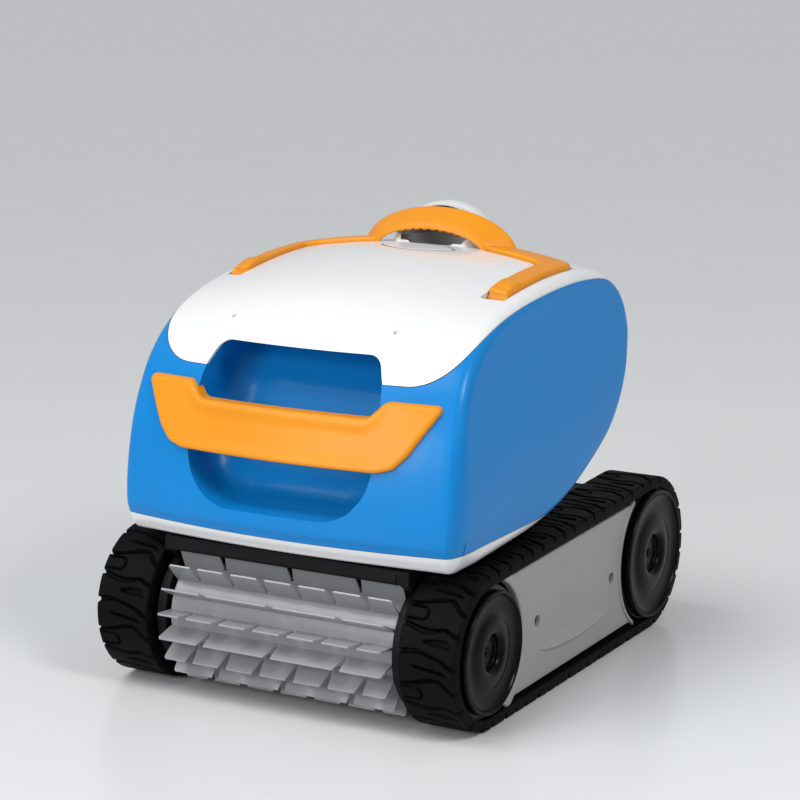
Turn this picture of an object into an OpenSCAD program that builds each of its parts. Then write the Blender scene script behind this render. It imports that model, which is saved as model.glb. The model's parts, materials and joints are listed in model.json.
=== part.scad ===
// Tracked pool cleaner. Millimetres, +Z up, front faces -Y, origin under the middle of the machine
// at floor level. Left and right are mirror images, so most pieces are drawn for the +X side.

/* [Body] */
// Width over the side panels at their widest
body_w = 294; // [290:1:296]
// How far the front and top bulge between the side edges and the middle
body_crown = 16; // [12:1:18]
// Wall thickness of the moulded shells
wall = 3; // [2.6:0.2:3.2]
// Radius where the front and top turn into the side panels
edge_r = 8; // [6:1:9]
// Gap between the lid and the shells round it
lid_gap = 0.5; // [0.4:0.1:0.8]

/* [Running gear] */
// Distance between the front and rear wheel centres along the floor
wheelbase = 300; // [296:1:304]
// Radius over the lugs at the front wheel
front_r = 60; // [59:0.5:61]
// Radius over the lugs at the rear wheel
rear_r = 65.3; // [64.5:0.1:66]
// Width of the rubber track
track_w = 47; // [44:1:48]
// Height of the tread lugs above the belt
lug_h = 6; // [5:0.5:6]
// Number of tread lugs on each track
lug_count = 51; // [48:1:54]

/* [Brush] */
// Radius over the brush blades
brush_r = 57; // [55:0.5:57]
// Radius of the brush drum
brush_core_r = 37; // [35:1:38]
// Number of blade rows round the drum
blade_rows = 18; // [16:2:20]
// Thickness of a blade
blade_t = 2.2; // [1.8:0.2:2.6]

/* [Drive] */
// Gear module
gear_m = 1.5; // [1.5:0.5:1.5]
// Teeth on the wheel gear
wheel_teeth = 48; // [48:1:48]
// Teeth on the drive pinion
pinion_teeth = 14; // [14:1:14]
// Wheel axle radius
axle_r = 7.95; // [7.92:0.01:7.96]

/* [Handles] */
// How far the front handle stands proud of the front face
grip_proud = 5; // [4:1:7]
// Thickness of the carry handle strap
bail_t = 6; // [5:0.5:6]

/* [Hidden] */
$fn = 64;

eps = 0.01;
centre_shift = 2;
channel_wall = 2.6;
pocket_wall = 3;
far = 400;
belt_t = 3.2;
lug_base = 12.2;
lug_slope = 1.2;
front_y = -wheelbase / 2 - 2.5;
rear_y = wheelbase / 2 - 2.5;
belt_f = front_r - lug_h - belt_t;
belt_b = rear_r - lug_h - belt_t;
drum_f = belt_f - 0.4;
drum_b = belt_b - 0.4;
top_turn = 2 * asin((rear_r - front_r) / wheelbase);
top_ang = 90 + top_turn;
track_in = 110;
track_out = track_in + track_w;
wall_in = 100;
wall_out = 107;
gear_in = 110;
gear_out = 117;
drum_in = 119.5;
drum_out = 153;
wheel_bore = 8;
brush_y = -160;
brush_z = 62;
brush_half = 98;
journal_r = 5;
gear_reach = gear_m * (wheel_teeth + pinion_teeth) / 2;
shaft_y = rear_y - gear_reach;
shaft_z = rear_r;
hull_floor = 124;
front_boss_top = 147;
skirt_top = 138.4;
lid_front_z = 258;
lid_corner = 40;
lid_half = 135;
lid_rear = 118;
hinge_y = 128;
hinge_z = 305;
hinge_r = 5;
bail_y = -62;
bail_z = 308;
bail_pin_r = 2;
bail_lift = 4;
bail_sink = 5;
hood_y = 70;
hood_r = 46;
hood_floor = 318;
hood_h = 44;
post_y = [-68, 71];
post_z = 62;
lens_z = 37.5;
lens_half_h = 5.75;
lens_r = 370;

// ---- body surface: side outline, crown and half width ----
side_pts = [[-161, 124], [-180.4, 124], [-187, 130], [-191, 139.2], [-193, 150], [-190, 179],
            [-184, 210], [-175, 235], [-164, 257], [-148, 275], [-126, 290], [-100, 300],
            [-66, 307], [-30, 311.5], [5, 314], [45, 314], [85, 309], [109, 297], [122, 282],
            [127.5, 262], [125, 245], [118, 224.5], [101, 200.5], [77, 179.5], [40, 160],
            [-4.5, 141.5], [-54, 131.5], [-111, 127]];
half_w = [[124, -4], [138, -1], [150, 0], [180, -1], [200, -2], [225, -3.5], [247, -5], [262, -6.5],
          [277, -8], [293, -10], [300, -11.5], [332, -13]];
side_sub = 1;
side_n = len(side_pts);
side_m = side_n * side_sub;

function mid_curve(a, b, c, d, t) = 0.5 * (2 * b + (c - a) * t + (2 * a - 5 * b + 4 * c - d) * t * t
                                           + (3 * b - a - 3 * c + d) * t * t * t);
function side_at(i) = side_pts[(i + side_n) % side_n];
outline = [for (i = [0:side_n - 1])
               for (k = [0:side_sub - 1])
                   mid_curve(side_at(i - 1), side_at(i), side_at(i + 1), side_at(i + 2), k / side_sub)];
function run_at(i) = outline[(i + 1) % side_m] - outline[(i + side_m - 1) % side_m];
outward = [for (i = [0:side_m - 1]) [-run_at(i)[1], run_at(i)[0]] / norm(run_at(i))];
crown_dir = [for (n = outward) [n[0] < 0 ? n[0] : n[0] / 2, max(0, n[1])]];
function half_at(z) = body_w / 2 + lookup(z, half_w);
function crown_at(x) = body_crown * max(0, 1 - pow(x / 142, 2));

ring_steps = 10;
edge_steps = 2;
// each ring: [fraction of the flat width, distance in from the side face, distance in from the outline]
rings = [for (k = [0:edge_steps - 1])
             let (a = 90 * k / edge_steps) [1, edge_r * (1 - cos(a)), edge_r * (1 - sin(a))],
         for (k = [0:ring_steps]) [1 - 2 * k / ring_steps, edge_r, 0],
         for (k = [edge_steps - 1:-1:0])
             let (a = 90 * k / edge_steps) [-1, edge_r * (1 - cos(a)), edge_r * (1 - sin(a))]];

function ring_point(r, i, inset) =
    let (p = outline[i] - (r[2] + inset) * outward[i])
    let (x = r[0] * (half_at(p[1]) - inset - r[1]))
    let (q = p + crown_at(x) * crown_dir[i])
    [x, q[0], q[1]];

module body_solid(inset = 0) {
    n = len(rings);
    pts = concat([for (r = rings) for (i = [0:side_m - 1]) ring_point(r, i, inset)],
                 [[half_at(215) + 1 - inset, -30, 215], [-half_at(215) - 1 + inset, -30, 215]]);
    skin = [for (k = [0:n - 2])
                for (i = [0:side_m - 1])
                    let (j = (i + 1) % side_m)
                    each [[k * side_m + i, (k + 1) * side_m + i, (k + 1) * side_m + j],
                          [k * side_m + i, (k + 1) * side_m + j, k * side_m + j]]];
    cap_a = [for (i = [0:side_m - 1]) [n * side_m, i, (i + 1) % side_m]];
    cap_b = [for (i = [0:side_m - 1])
                 [n * side_m + 1, (n - 1) * side_m + (i + 1) % side_m, (n - 1) * side_m + i]];
    polyhedron(points = pts, faces = concat(skin, cap_a, cap_b), convexity = 6);
}

// ---- small helpers ----
module yz(x0, x1) {
    translate([x0, 0, 0]) rotate([90, 0, 90]) linear_extrude(x1 - x0) children();
}

module xz(y0, y1) {
    translate([0, y1, 0]) rotate([90, 0, 0]) linear_extrude(y1 - y0) children();
}

module rod_x(x0, x1, y, z, r) {
    translate([x0, y, z]) rotate([0, 90, 0]) cylinder(h = x1 - x0, r = r);
}

module rod_z(x, y, z0, z1, r) {
    translate([x, y, z0]) cylinder(h = z1 - z0, r = r);
}

module box(lo, hi) {
    translate(lo) cube(hi - lo);
}

module left() {
    mirror([1, 0, 0]) children();
}

module both() {
    children();
    left() children();
}

module spin_x(x, y, z) {
    translate([x, y, z]) rotate([0, 90, 0]) rotate_extrude() children();
}

// moves a finished piece so that the machine's outline is centred on the origin
module placed() {
    translate([0, centre_shift, 0]) children();
}

// one mesh from here down
module cast() {
    $fn = 36;
    resize([0, 0, 0]) children();
}

function ray(a) = [cos(a), sin(a)];

// ---- lid, recess and carry handle zones ----
module lid_zone(gap) {
    intersection() {
        linear_extrude(far)
            polygon([[-lid_half + gap, -far], [lid_half - gap, -far],
                     [lid_half - gap, lid_rear + far], [-lid_half + gap, lid_rear + far]]);
        yz(-far / 2, far / 2)
            polygon([[-far, lid_front_z + gap], [-146, lid_front_z + gap], [-100, 256.7], [0, 256.7],
                     [lid_rear - gap, 256.7], [lid_rear - gap, far], [-far, far]]);
        // rounded lower corners of the front edge, as seen from the front
        union() {
            xz(-far, -92)
                translate([0, lid_front_z + gap + lid_corner])
                    offset(r = lid_corner)
                        translate([gap + lid_corner - lid_half, 0])
                            square([2 * (lid_half - gap - lid_corner), far]);
            box([-far, -93.5, 0], [far, far, far]);
        }
    }
}

module recess_face(grow) {
    offset(delta = grow)
        offset(r = 12)
            offset(delta = -12)
                union() {
                    polygon([[-68, 276.5], [-77, 256], [-80, 235], [-81, 200], [-76, 179], [-62, 163],
                             [-45, 156.5], [45, 156.5], [62, 163], [76, 179], [81, 200], [80, 235],
                             [77, 256], [68, 276.5]]);
                }
}

module recess_zone(grow) {
    intersection() {
        xz(-260, -60) recess_face(grow);
        yz(-120, 120)
            polygon([[-260, 130], [-168 + grow, 130], [-164 + grow, 150], [-157 + grow, 168],
                     [-151 + grow, 190], [-144 + grow, 214], [-133.5 + grow, 239], [-120.5 + grow, 259.3],
                     [-106 + grow, 272], [-100 + grow, 290], [-260, 290]]);
    }
}

module arm_plan(grow) {
    offset(delta = grow)
        polygon([[106, -68], [124, -68], [124.6, 38], [122, 52], [58, 60.8], [43, 36], [98, 27],
                 [106, 20]]);
}

module pivot_plan(grow) {
    offset(delta = grow)
        polygon([[106, -82], [124, -74], [124, -50], [106, -50]]);
}

module layer(top, depth) {
    difference() {
        translate([0, 0, top]) body_solid();
        translate([0, 0, top - depth]) body_solid();
    }
}

module plan(z0 = 260) {
    translate([0, 0, z0]) linear_extrude(far) children();
}

// everything the blue shell may occupy
module shell_zone(gap) {
    difference() {
        union() {
            yz(-far / 2, far / 2)
                polygon([[-far, skirt_top - gap], [-100 + gap, skirt_top - gap], [-100 + gap, far],
                         [-far, far]]);
            difference() {
                yz(-far / 2, far / 2) side_face(gap);
                yz(-131 + gap, 131 - gap) square([2 * far, 2 * far], center = true);
            }
        }
        lid_zone(-lid_gap / 2);
    }
}

module side_face(gap) {
    intersection() {
        union() {
            offset(delta = gap - 3) polygon(outline);
            polygon([[-far, skirt_top - gap], [-100, skirt_top - gap], [-60, 280], [70, 290],
                     [100 + gap, 298], [100 + gap, far], [-far, far]]);
        }
        translate([-far, skirt_top - gap]) square([2 * far, far]);
    }
}

module rod_y(y0, y1, x, z, r) {
    translate([x, y0, z]) rotate([-90, 0, 0]) cylinder(h = y1 - y0, r = r);
}

module rounded_pair(a, ra, b, rb) {
    hull() {
        translate(a) circle(r = ra, $fn = 32);
        translate(b) circle(r = rb, $fn = 32);
    }
}

// ---- shells ----
screw_spots = [[80, -96], [-80, -96], [80, 44], [-80, 44]];
grip_screws = [[104, 222], [-104, 222]];

module body_tub() {
    color([0.94, 0.95, 0.96]) placed() cast() difference() {
        union() {
            difference() {
                body_solid();
                body_solid(wall);
                lid_zone(-lid_gap / 2);
                shell_zone(0.15);
            }
            // hinge ears on the back
            for (x = [-68, -50, 44, 62])
                yz(x, x + 6) rounded_pair([hinge_y, hinge_z], hinge_r, [125, 284], 7);
            // bosses over the chassis screws
            intersection() {
                for (p = screw_spots)
                    rod_z(p[0], p[1], 123.7, p[1] < 0 ? front_boss_top : 180, 7);
                union() {
                    body_solid();
                    box([-95, -110, 110], [95, 60, 172]);
                }
            }
        }
        // suction opening, screw bores, hinge bores and cable hole
        box([-55.4, -75.4, 100], [55.4, -8.6, 200]);
        for (p = screw_spots)
            rod_z(p[0], p[1], 100, 134, 2.6);
        rod_x(-far / 2, far / 2, hinge_y, hinge_z, 2.05);
        rod_y(100, 160, 0, 232, 9.1);
        intersection() {
            for (p = screw_spots)
                rod_z(p[0], p[1], 150, 190, 8);
            box([-95, 20, 176], [95, 70, 200]);
        }
    }
}

module front_side_shell() {
    color([0.16, 0.48, 0.74]) placed() cast() difference() {
        union() {
            intersection() {
                difference() {
                    body_solid();
                    body_solid(wall);
                }
                shell_zone(0);
            }
            // scooped pocket behind the front handle, carried on under the lid
            intersection() {
                recess_zone(2.5);
                body_solid(1);
                shell_zone(-0.6);
            }
            intersection() {
                recess_zone(2.5);
                body_solid(wall + 0.6);
                box([-far, -far, 240], [far, far, far]);
            }
            intersection() {
                body_solid(1);
                for (p = grip_screws)
                    rod_y(-200, -181.9, p[0], p[1], 6);
            }
        }
        recess_zone(0);
        for (p = grip_screws)
            rod_y(-210, -170, p[0], p[1], 2.1);
    }
}

module grip_face() {
    offset(r = 3)
        offset(delta = -3)
            polygon([[-84, 197], [84, 197], [97, 200.5], [107, 211], [129, 247], [84, 247.5], [72, 235],
                     [-72, 235], [-84, 247.5], [-129, 247], [-107, 211], [-97, 200.5]]);
}

module front_handle() {
    color([0.96, 0.66, 0.18]) placed() cast() difference() {
        intersection() {
            xz(-260, -120) grip_face();
            difference() {
                translate([0, -grip_proud, 0]) body_solid();
                translate([0, 9, 0]) body_solid();
            }
        }
        difference() {
            translate([0, -0.1, 0]) body_solid();
            recess_zone(-0.8);
        }
        for (p = grip_screws)
            rod_y(-190.5, -170, p[0], p[1], 2.1);
    }
}

module front_handle_screws() {
    color([0.72, 0.73, 0.75]) placed()
        for (p = grip_screws) {
            rod_y(-190.2, -181.8, p[0], p[1], 2);
            rod_y(-181.8, -179, p[0], p[1], 4);
        }
}

vents = [[70.5, -146], [-70.5, -146], [100, 20], [-100, 20]];

module badge_face(grow) {
    offset(delta = grow)
        translate([0, 18])
            intersection() {
                translate([0, -30]) circle(r = 46, $fn = 96);
                translate([0, 30]) circle(r = 46, $fn = 96);
            }
}

module lid() {
    color([0.95, 0.96, 0.97]) placed() cast() difference() {
        union() {
            difference() {
                intersection() {
                    union() {
                        difference() {
                            body_solid();
                            body_solid(wall);
                        }
                        // carry handle channel and pivot pockets
                        both() {
                            intersection() {
                                layer(0, 8.3);
                                plan() arm_plan(channel_wall);
                            }
                            intersection() {
                                layer(0, 17);
                                plan() pivot_plan(pocket_wall);
                            }
                        }
                    }
                    lid_zone(lid_gap / 2);
                }
                both() {
                    intersection() {
                        layer(20, 25);
                        plan() arm_plan(0);
                    }
                    intersection() {
                        layer(20, 33.5);
                        plan() pivot_plan(0);
                    }
                }
            }
            // hinge arms
            for (x = [-61.6, 50.4])
                yz(x, x + 11.2) rounded_pair([hinge_y, hinge_z], hinge_r, [104, 309], 3);
        }
        recess_zone(0.8);
        rod_x(-far / 2, far / 2, hinge_y, hinge_z, 2.05);
        both() rod_x(100, 130, bail_y, bail_z, 2);
        rod_z(0, hood_y, 250, far, 38);
        for (p = vents)
            rod_z(p[0], p[1], 250, far, 1.5);
        intersection() {
            layer(5, 5.9);
            plan() badge_face(0);
        }
    }
}

module badge_inlay() {
    color([0.85, 0.87, 0.88]) placed() cast() intersection() {
        layer(0.2, 1.05);
        plan() badge_face(-0.15);
    }
}

module lid_hinge_pins() {
    color([0.75, 0.76, 0.78]) placed() both() rod_x(44.5, 67.5, hinge_y, hinge_z, 2);
}

// ---- carry handle ----
strap_n = 24;
arch_front = 53;
arch_rear = 72;

function strap_front(a, t) = [(arch_front - t) * cos(a), 37, 325 + (20.5 - t) * sin(a)];
function strap_rear(a, t) = [(arch_rear - t) * cos(a), 58.4, 321 + (38 - t) * sin(a)];

module strap() {
    n = strap_n;
    pts = [for (k = [0:n])
               let (a = 180 * k / n)
               each [strap_front(a, 0), strap_rear(a, 0), strap_rear(a, bail_t),
                     strap_front(a, bail_t)]];
    sides = [for (k = [0:n - 1])
                 for (j = [0:3])
                     let (a = 4 * k + j, b = 4 * k + (j + 1) % 4)
                     each [[a, b + 4, b], [a, a + 4, b + 4]]];
    ends = [[0, 1, 2], [0, 2, 3], [4 * n, 4 * n + 2, 4 * n + 1], [4 * n, 4 * n + 3, 4 * n + 2]];
    polyhedron(points = pts, faces = concat(sides, ends), convexity = 4);
}

module carry_handle() {
    color([0.96, 0.66, 0.18]) placed() cast() difference() {
        union() {
            both() {
                intersection() {
                    layer(bail_lift, bail_lift + bail_sink - 0.4);
                    plan() arm_plan(-0.6);
                }
                rod_x(107, 123, bail_y, bail_z, 6);
                intersection() {
                    rod_x(107.5, 119, -49, 311, 9);
                    layer(9, 12);
                }
            }
            intersection() {
                strap();
                box([-80, 20, 316.5], [80, 80, far]);
            }
        }
        both() rod_x(100, 130, bail_y, bail_z, 2.05);
        translate([0, 0, 0.5 - bail_sink]) body_solid();
    }
}

module carry_handle_pins() {
    color([0.75, 0.76, 0.78]) placed() both() rod_x(103.8, 126.2, bail_y, bail_z, 1.95);
}

// ---- water outlet on the lid ----
dome_n = 9;

module dome(t) {
    translate([0, hood_y, hood_floor])
        rotate_extrude($fn = 48)
            polygon(concat([[0, 0]], [for (k = [0:dome_n])
                                          let (a = 90 * k / dome_n)
                                          [(hood_r - t) * cos(a), (hood_h - t) * sin(a)]]));
}

module outlet_hood() {
    color([0.94, 0.95, 0.96]) placed() cast() difference() {
        union() {
            difference() {
                dome(0);
                dome(2.5);
            }
            difference() {
                rod_z(0, hood_y, 312, 327, 37.7);
                rod_z(0, hood_y, 300, 340, 35.4);
            }
            difference() {
                intersection() {
                    dome(1);
                    rod_z(0, hood_y, 300, 332, hood_r);
                }
                rod_z(0, hood_y, 300, 340, 37);
            }
        }
        yz(-60, 60) polygon([[0, 329], [37, 329], [61.5, 351], [61.5, far], [0, far]]);
        difference() {
            translate([0, 0, 0.05]) body_solid();
            rod_z(0, hood_y, 300, 340, 37.9);
        }
    }
}

module outlet_grille() {
    color([0.55, 0.57, 0.6]) placed() translate([0, hood_y, 316]) {
        difference() {
            cylinder(h = 4, r = 35.1);
            translate([0, 0, -1]) cylinder(h = 6, r = 32);
        }
        for (a = [0:45:135])
            rotate([0, 0, a]) translate([-32.5, -1, 0]) cube([65, 2, 4]);
        difference() {
            cylinder(h = 4, r = 19);
            translate([0, 0, -1]) cylinder(h = 6, r = 17);
        }
    }
}

// ---- pump ----
motor_r = 36;

module duct_ring() {
    color([0.3, 0.32, 0.34]) placed() {
        difference() {
            rod_z(0, hood_y, 264, 306, 40);
            rod_z(0, hood_y, 260, 310, 37.4);
        }
        for (a = [45:90:315])
            translate([0, hood_y, 0]) rotate([0, 0, a]) box([37.6, -4, 256.2], [40, 4, 265]);
    }
}

module motor_housing() {
    color([0.2, 0.21, 0.22]) placed() cast() difference() {
        intersection() {
            rod_z(0, hood_y, 150, 250, motor_r);
            body_solid(wall + 0.3);
        }
        rod_z(0, hood_y, 206, 260, motor_r - 3);
    }
}

cap_spots = [for (a = [0:60:300]) [34.4 * cos(a), hood_y + 34.4 * sin(a)]];

module motor_cap() {
    color([0.25, 0.26, 0.28]) placed() difference() {
        union() {
            rod_z(0, hood_y, 250.1, 256, 41);
            rod_z(0, hood_y, 244, 252, motor_r - 3.2);
        }
        rod_z(0, hood_y, 240, 260, 3.06);
        rod_z(0, hood_y, 240, 249, 24);
        for (p = cap_spots)
            rod_z(p[0], p[1], 240, 260, 1.5);
    }
}

module motor_cap_screws() {
    color([0.75, 0.76, 0.78]) placed()
        for (p = cap_spots)
            rod_z(p[0], p[1], 256.05, 257.6, 2.6);
}

module pump_motor() {
    color([0.6, 0.61, 0.63]) placed() difference() {
        union() {
            rod_z(0, hood_y, 206.1, 240, 23);
            rod_z(0, hood_y, 240, 243, 9);
        }
        rod_z(0, hood_y, 225, 250, 3.06);
    }
}

module impeller_shaft() {
    color([0.75, 0.76, 0.78]) placed() rod_z(0, hood_y, 226, 291, 3);
}

module impeller() {
    color([0.35, 0.37, 0.4]) placed() difference() {
        union() {
            rod_z(0, hood_y, 262, 290, 9);
            intersection() {
                for (a = [0:60:300])
                    translate([0, hood_y, 277]) rotate([0, 0, a]) rotate([38, 0, 0])
                        translate([6, -1, -15]) cube([34, 2, 30]);
                difference() {
                    rod_z(0, hood_y, 264, 290, 36.6);
                    rod_z(0, hood_y, 260, 295, 8);
                }
            }
        }
        rod_z(0, hood_y, 255, 300, 3.02);
    }
}

// ---- filter ----
filt_lo = [-90, -114, 149];
filt_hi = [90, 4, 246];

module filter_frame() {
    color([0.82, 0.84, 0.86]) placed() difference() {
        box(filt_lo, filt_hi);
        box(filt_lo + [3, 3, 3], filt_hi + [-3, -3, 10]);
        for (x = [-84, 4])
            box([x, -200, 158], [x + 80, 50, 238]);
        for (y = [-108, -52])
            box([-150, y, 158], [150, y + 50, 238]);
        box([-50, -70, 140], [50, -14, 160]);
    }
}

module filter_mesh() {
    color([0.9, 0.9, 0.88]) placed() {
        difference() {
            box(filt_lo + [3.1, 3.1, 3.1], filt_hi + [-3.1, -3.1, -4]);
            box(filt_lo + [4.1, 4.1, 2], filt_hi + [-4.1, -4.1, 10]);
        }
    }
}

// raised seat between the chassis deck and the curved underside of the body
module pedestal() {
    color([0.09, 0.09, 0.1]) placed() cast() difference() {
        box([-92, -108, 123.6], [92, 56, 175]);
        box([-88.5, -104.5, 100], [88.5, 52.5, 200]);
        translate([0, 0, -0.4]) body_solid();
    }
}

module suction_duct() {
    color([0.25, 0.26, 0.28]) placed() difference() {
        box([-55, -75, 24.1], [55, -9, 148.8]);
        box([-52, -72, 20], [52, -12, 160]);
        for (y = [-69.5, -41])
            rod_x(-60, 60, y, 26.5, 1.3);
    }
}

module flap(y) {
    difference() {
        union() {
            box([-49.5, y, 24.3], [49.5, y + 25.6, 26.1]);
            rod_x(-49.5, 49.5, y, 26.5, 2.2);
        }
        rod_x(-60, 60, y, 26.5, 1.28);
    }
}

module intake_flap_front() {
    color([0.85, 0.5, 0.15]) placed() flap(-69.5);
}

module intake_flap_rear() {
    color([0.85, 0.5, 0.15]) placed() flap(-41);
}

module flap_pins() {
    color([0.75, 0.76, 0.78]) placed()
        for (y = [-69.5, -41])
            rod_x(-54.5, 54.5, y, 26.5, 1.2);
}

module cable_gland() {
    color([0.12, 0.12, 0.13]) placed() difference() {
        union() {
            rod_y(116, 136, 0, 232, 9);
            rod_y(133.2, 137, 0, 232, 12);
            rod_y(137, 146, 0, 232, 7.5);
        }
        rod_y(100, 150, 0, 232, 4);
    }
}

// ---- chassis ----
module wheel_pair(rf, rr) {
    translate([front_y, front_r]) circle(r = rf);
    translate([rear_y, rear_r]) circle(r = rr);
    polygon([[front_y, front_r] + rf * ray(-90), [front_y, front_r] + rf * ray(top_ang),
             [rear_y, rear_r] + rr * ray(top_ang), [rear_y, rear_r] + rr * ray(-90)]);
}

module chassis_side() {
    difference() {
        union() {
            yz(wall_in, wall_out) {
                wheel_pair(49.5, 53);
                polygon([[-190, 112.5], [-190, 123.4], [62, 123.4], [62, 100], [-150, 100],
                         [-178, 104]]);
            }
            for (y = post_y)
                rod_x(wall_out - 1, 149.9, y, post_z, 6);
        }
        rod_x(wall_in - 1, wall_in + 4.5, brush_y, brush_z, journal_r + 0.06);
        rod_x(wall_in - 1, wall_out + 1, shaft_y, shaft_z, 9);
        for (y = post_y)
            rod_x(132, 150, y, post_z, 2.3);
    }
}

module chassis() {
    color([0.09, 0.09, 0.1]) placed() union() {
        both() chassis_side();
        // floor, deck under the hull, front lip and back panel
        difference() {
            union() {
                box([-wall_in - 1, -96, 20], [wall_in + 1, 172, 24]);
                box([-wall_in - 1, -190, 121], [wall_in + 1, 62, 123.4]);
                box([-wall_in - 1, -190, 112.5], [wall_in + 1, -172, 123.4]);
                box([-wall_in - 1, 58, 112], [wall_in + 1, 154, 115.6]);
                box([-wall_in - 1, 58, 112], [wall_in + 1, 62, 123.4]);
            }
            rod_x(-wall_in, wall_in, brush_y, brush_z, brush_r + 1.7);
            box([-56, -76, 110], [56, -8, 130]);
            box([-45, -70, 10], [45, -14, 30]);
            for (p = screw_spots)
                rod_z(p[0], p[1], 110, 130, 2.7);
        }
        yz(-wall_in - 1, wall_in + 1)
            polygon([[168, 20], [172, 20], [180, 30], [188, 55], [188, 75], [180, 98], [170, 110],
                     [150, 116], [150, 113], [168, 107], [177, 96], [184.5, 75], [184.5, 55], [177, 32]]);
    }
}

module bottom_plate() {
    color([0.16, 0.17, 0.18]) placed() difference() {
        union() {
            box([-97, -94, 15], [97, 120, 19.9]);
            // lips that guide dirt into the ports
            for (y = [-46, -40])
                box([-90, y, 10], [90, y + 2, 16]);
        }
        box([-42, -67, 5], [42, -48, 30]);
        box([-42, -36, 5], [42, -17, 30]);
    }
}

module hull_screws() {
    color([0.75, 0.76, 0.78]) placed()
        for (p = screw_spots) {
            rod_z(p[0], p[1], 120, 133, 2.5);
            rod_z(p[0], p[1], 117.5, 120.9, 4.5);
        }
}

module drive_motor() {
    difference() {
        union() {
            rod_x(28, 84, shaft_y, shaft_z, 15);
            rod_x(84, wall_in - 0.1, shaft_y, shaft_z, 17.5);
        }
        rod_x(80, wall_in + 1, shaft_y, shaft_z, 3.06);
    }
}

// ---- gears ----
pressure = 20;
tooth_gap = 0.14;
function roll(a) = tan(a) * 180 / PI - a;
function tooth_half(n, r) =
    let (rp = gear_m * n / 2, rb = rp * cos(pressure))
    90 / n - tooth_gap / rp * 90 / PI + roll(pressure) - roll(acos(min(1, rb / max(r, rb))));

module gear_face(n) {
    rp = gear_m * n / 2;
    tip = rp + 0.9 * gear_m;
    root = rp - 1.2 * gear_m;
    steps = 5;
    start = max(root + 0.05, rp * cos(pressure));
    flank = [for (k = [0:steps]) start + (tip - start) * k / steps];
    polygon([for (i = [0:n - 1])
                 let (mid = 360 * i / n)
                 each concat([root * ray(mid - tooth_half(n, start))],
                             [for (r = flank) r * ray(mid - tooth_half(n, r))],
                             [for (k = [steps:-1:0]) flank[k] * ray(mid + tooth_half(n, flank[k]))],
                             [root * ray(mid + tooth_half(n, start))])]);
}

module drive_pinion() {
    difference() {
        union() {
            yz(gear_in, gear_out)
                translate([shaft_y, shaft_z]) rotate(180 / pinion_teeth) gear_face(pinion_teeth);
            rod_x(85, gear_out, shaft_y, shaft_z, 3);
            rod_x(gear_out - eps, gear_out + 1.2, shaft_y, shaft_z, 5);
        }
    }
}

// ---- wheels ----
module drum(y, z, r) {
    spin_x(0, y, z)
        polygon([[wheel_bore, 109.8], [13, 109.8], [13, drum_in], [r, drum_in], [r, drum_out],
                 [r - 4, drum_out], [r - 4, drum_in + 4], [16, drum_in + 4], [13, 150], [wheel_bore, 150]]);
}

module front_wheel() {
    drum(front_y, front_r, drum_f);
}

module rear_wheel() {
    drum(rear_y, rear_r, drum_b);
    difference() {
        yz(gear_in, gear_out) translate([rear_y, rear_r]) gear_face(wheel_teeth);
        rod_x(gear_in - 1, gear_out + 1, rear_y, rear_r, 12.9);
    }
    spin_x(0, rear_y, rear_r)
        polygon([[24, gear_out - eps], [30, gear_out - eps], [30, drum_in + eps], [24, drum_in + eps]]);
}

module wheel_cap(y, z, r) {
    k = r / 47.2;
    spin_x(0, y, z)
        polygon([[0, 154], [15 * k, 154], [17 * k, 159.4], [20 * k, 160], [26 * k, 159],
                 [29 * k, 156.4], [31 * k, 156], [36 * k, 156.2], [42 * k, 157.6], [r - 2, 160],
                 [r, 159], [r, 153.05], [r - 3, 153.05], [r - 6, 153.05], [0, 153.05]]);
}

module axle(y, z) {
    rod_x(wall_out, 109.5, y, z, 12);
    rod_x(wall_out, 150.2, y, z, axle_r);
}

module axle_set() {
    both() {
        children();
        translate([0, rear_y - front_y, rear_r - front_r]) children();
    }
}

module axle_washers() {
    color([0.75, 0.76, 0.78]) placed() axle_set() rod_x(150.3, 151.2, front_y, front_r, 11);
}

module axle_screws() {
    color([0.7, 0.71, 0.73]) placed() axle_set() rod_x(151.25, 152.7, front_y, front_r, 5);
}

// ---- tracks ----
run_f = front_r - lug_h;
run_b = rear_r - lug_h;
arc_f = PI * run_f * (180 - top_turn) / 180;
arc_b = PI * run_b * (180 + top_turn) / 180;
belt_len = 2 * wheelbase + arc_f + arc_b;

function belt_at(s, h) =
    s < wheelbase
        ? [rear_y - s, -h + lug_h]
    : s < wheelbase + arc_f
        ? [front_y, front_r] + (run_f + h) * ray(-90 - (s - wheelbase) / arc_f * (180 - top_turn))
    : s < 2 * wheelbase + arc_f
        ? let (t = (s - wheelbase - arc_f) / wheelbase)
          [front_y, front_r] * (1 - t) + [rear_y, rear_r] * t
              + (run_f * (1 - t) + run_b * t + h) * ray(top_ang)
        : [rear_y, rear_r]
              + (run_b + h) * ray(top_ang - (s - 2 * wheelbase - arc_f) / arc_b * (180 + top_turn));

// inside of the belt: two straight runs and two stepped turns
turn_steps = 40;
belt_inside = concat([for (k = [0:turn_steps]) belt_at(wheelbase + arc_f * k / turn_steps, -belt_t)],
                     [for (k = [0:turn_steps]) belt_at(2 * wheelbase + arc_f + arc_b * k / turn_steps, -belt_t)]);

module track() {
    pitch = belt_len / lug_count;
    yz(track_in, track_out)
        difference() {
            polygon([for (k = [0:lug_count - 1])
                         let (s = k * pitch + 2)
                         each [belt_at(s, 0), belt_at(s + lug_slope, lug_h),
                               belt_at(s + lug_base / 2, lug_h),
                               belt_at(s + lug_base - lug_slope, lug_h), belt_at(s + lug_base, 0)]]);
            polygon(belt_inside);
        }
}

// ---- side plates ----
module plate_face() {
    difference() {
        polygon([[front_y, 12], [rear_y, 14], [rear_y, 117], [front_y, 107.5]]);
        translate([front_y, front_r]) circle(r = 54);
        translate([rear_y, rear_r]) circle(r = 59.5);
    }
}

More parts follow.
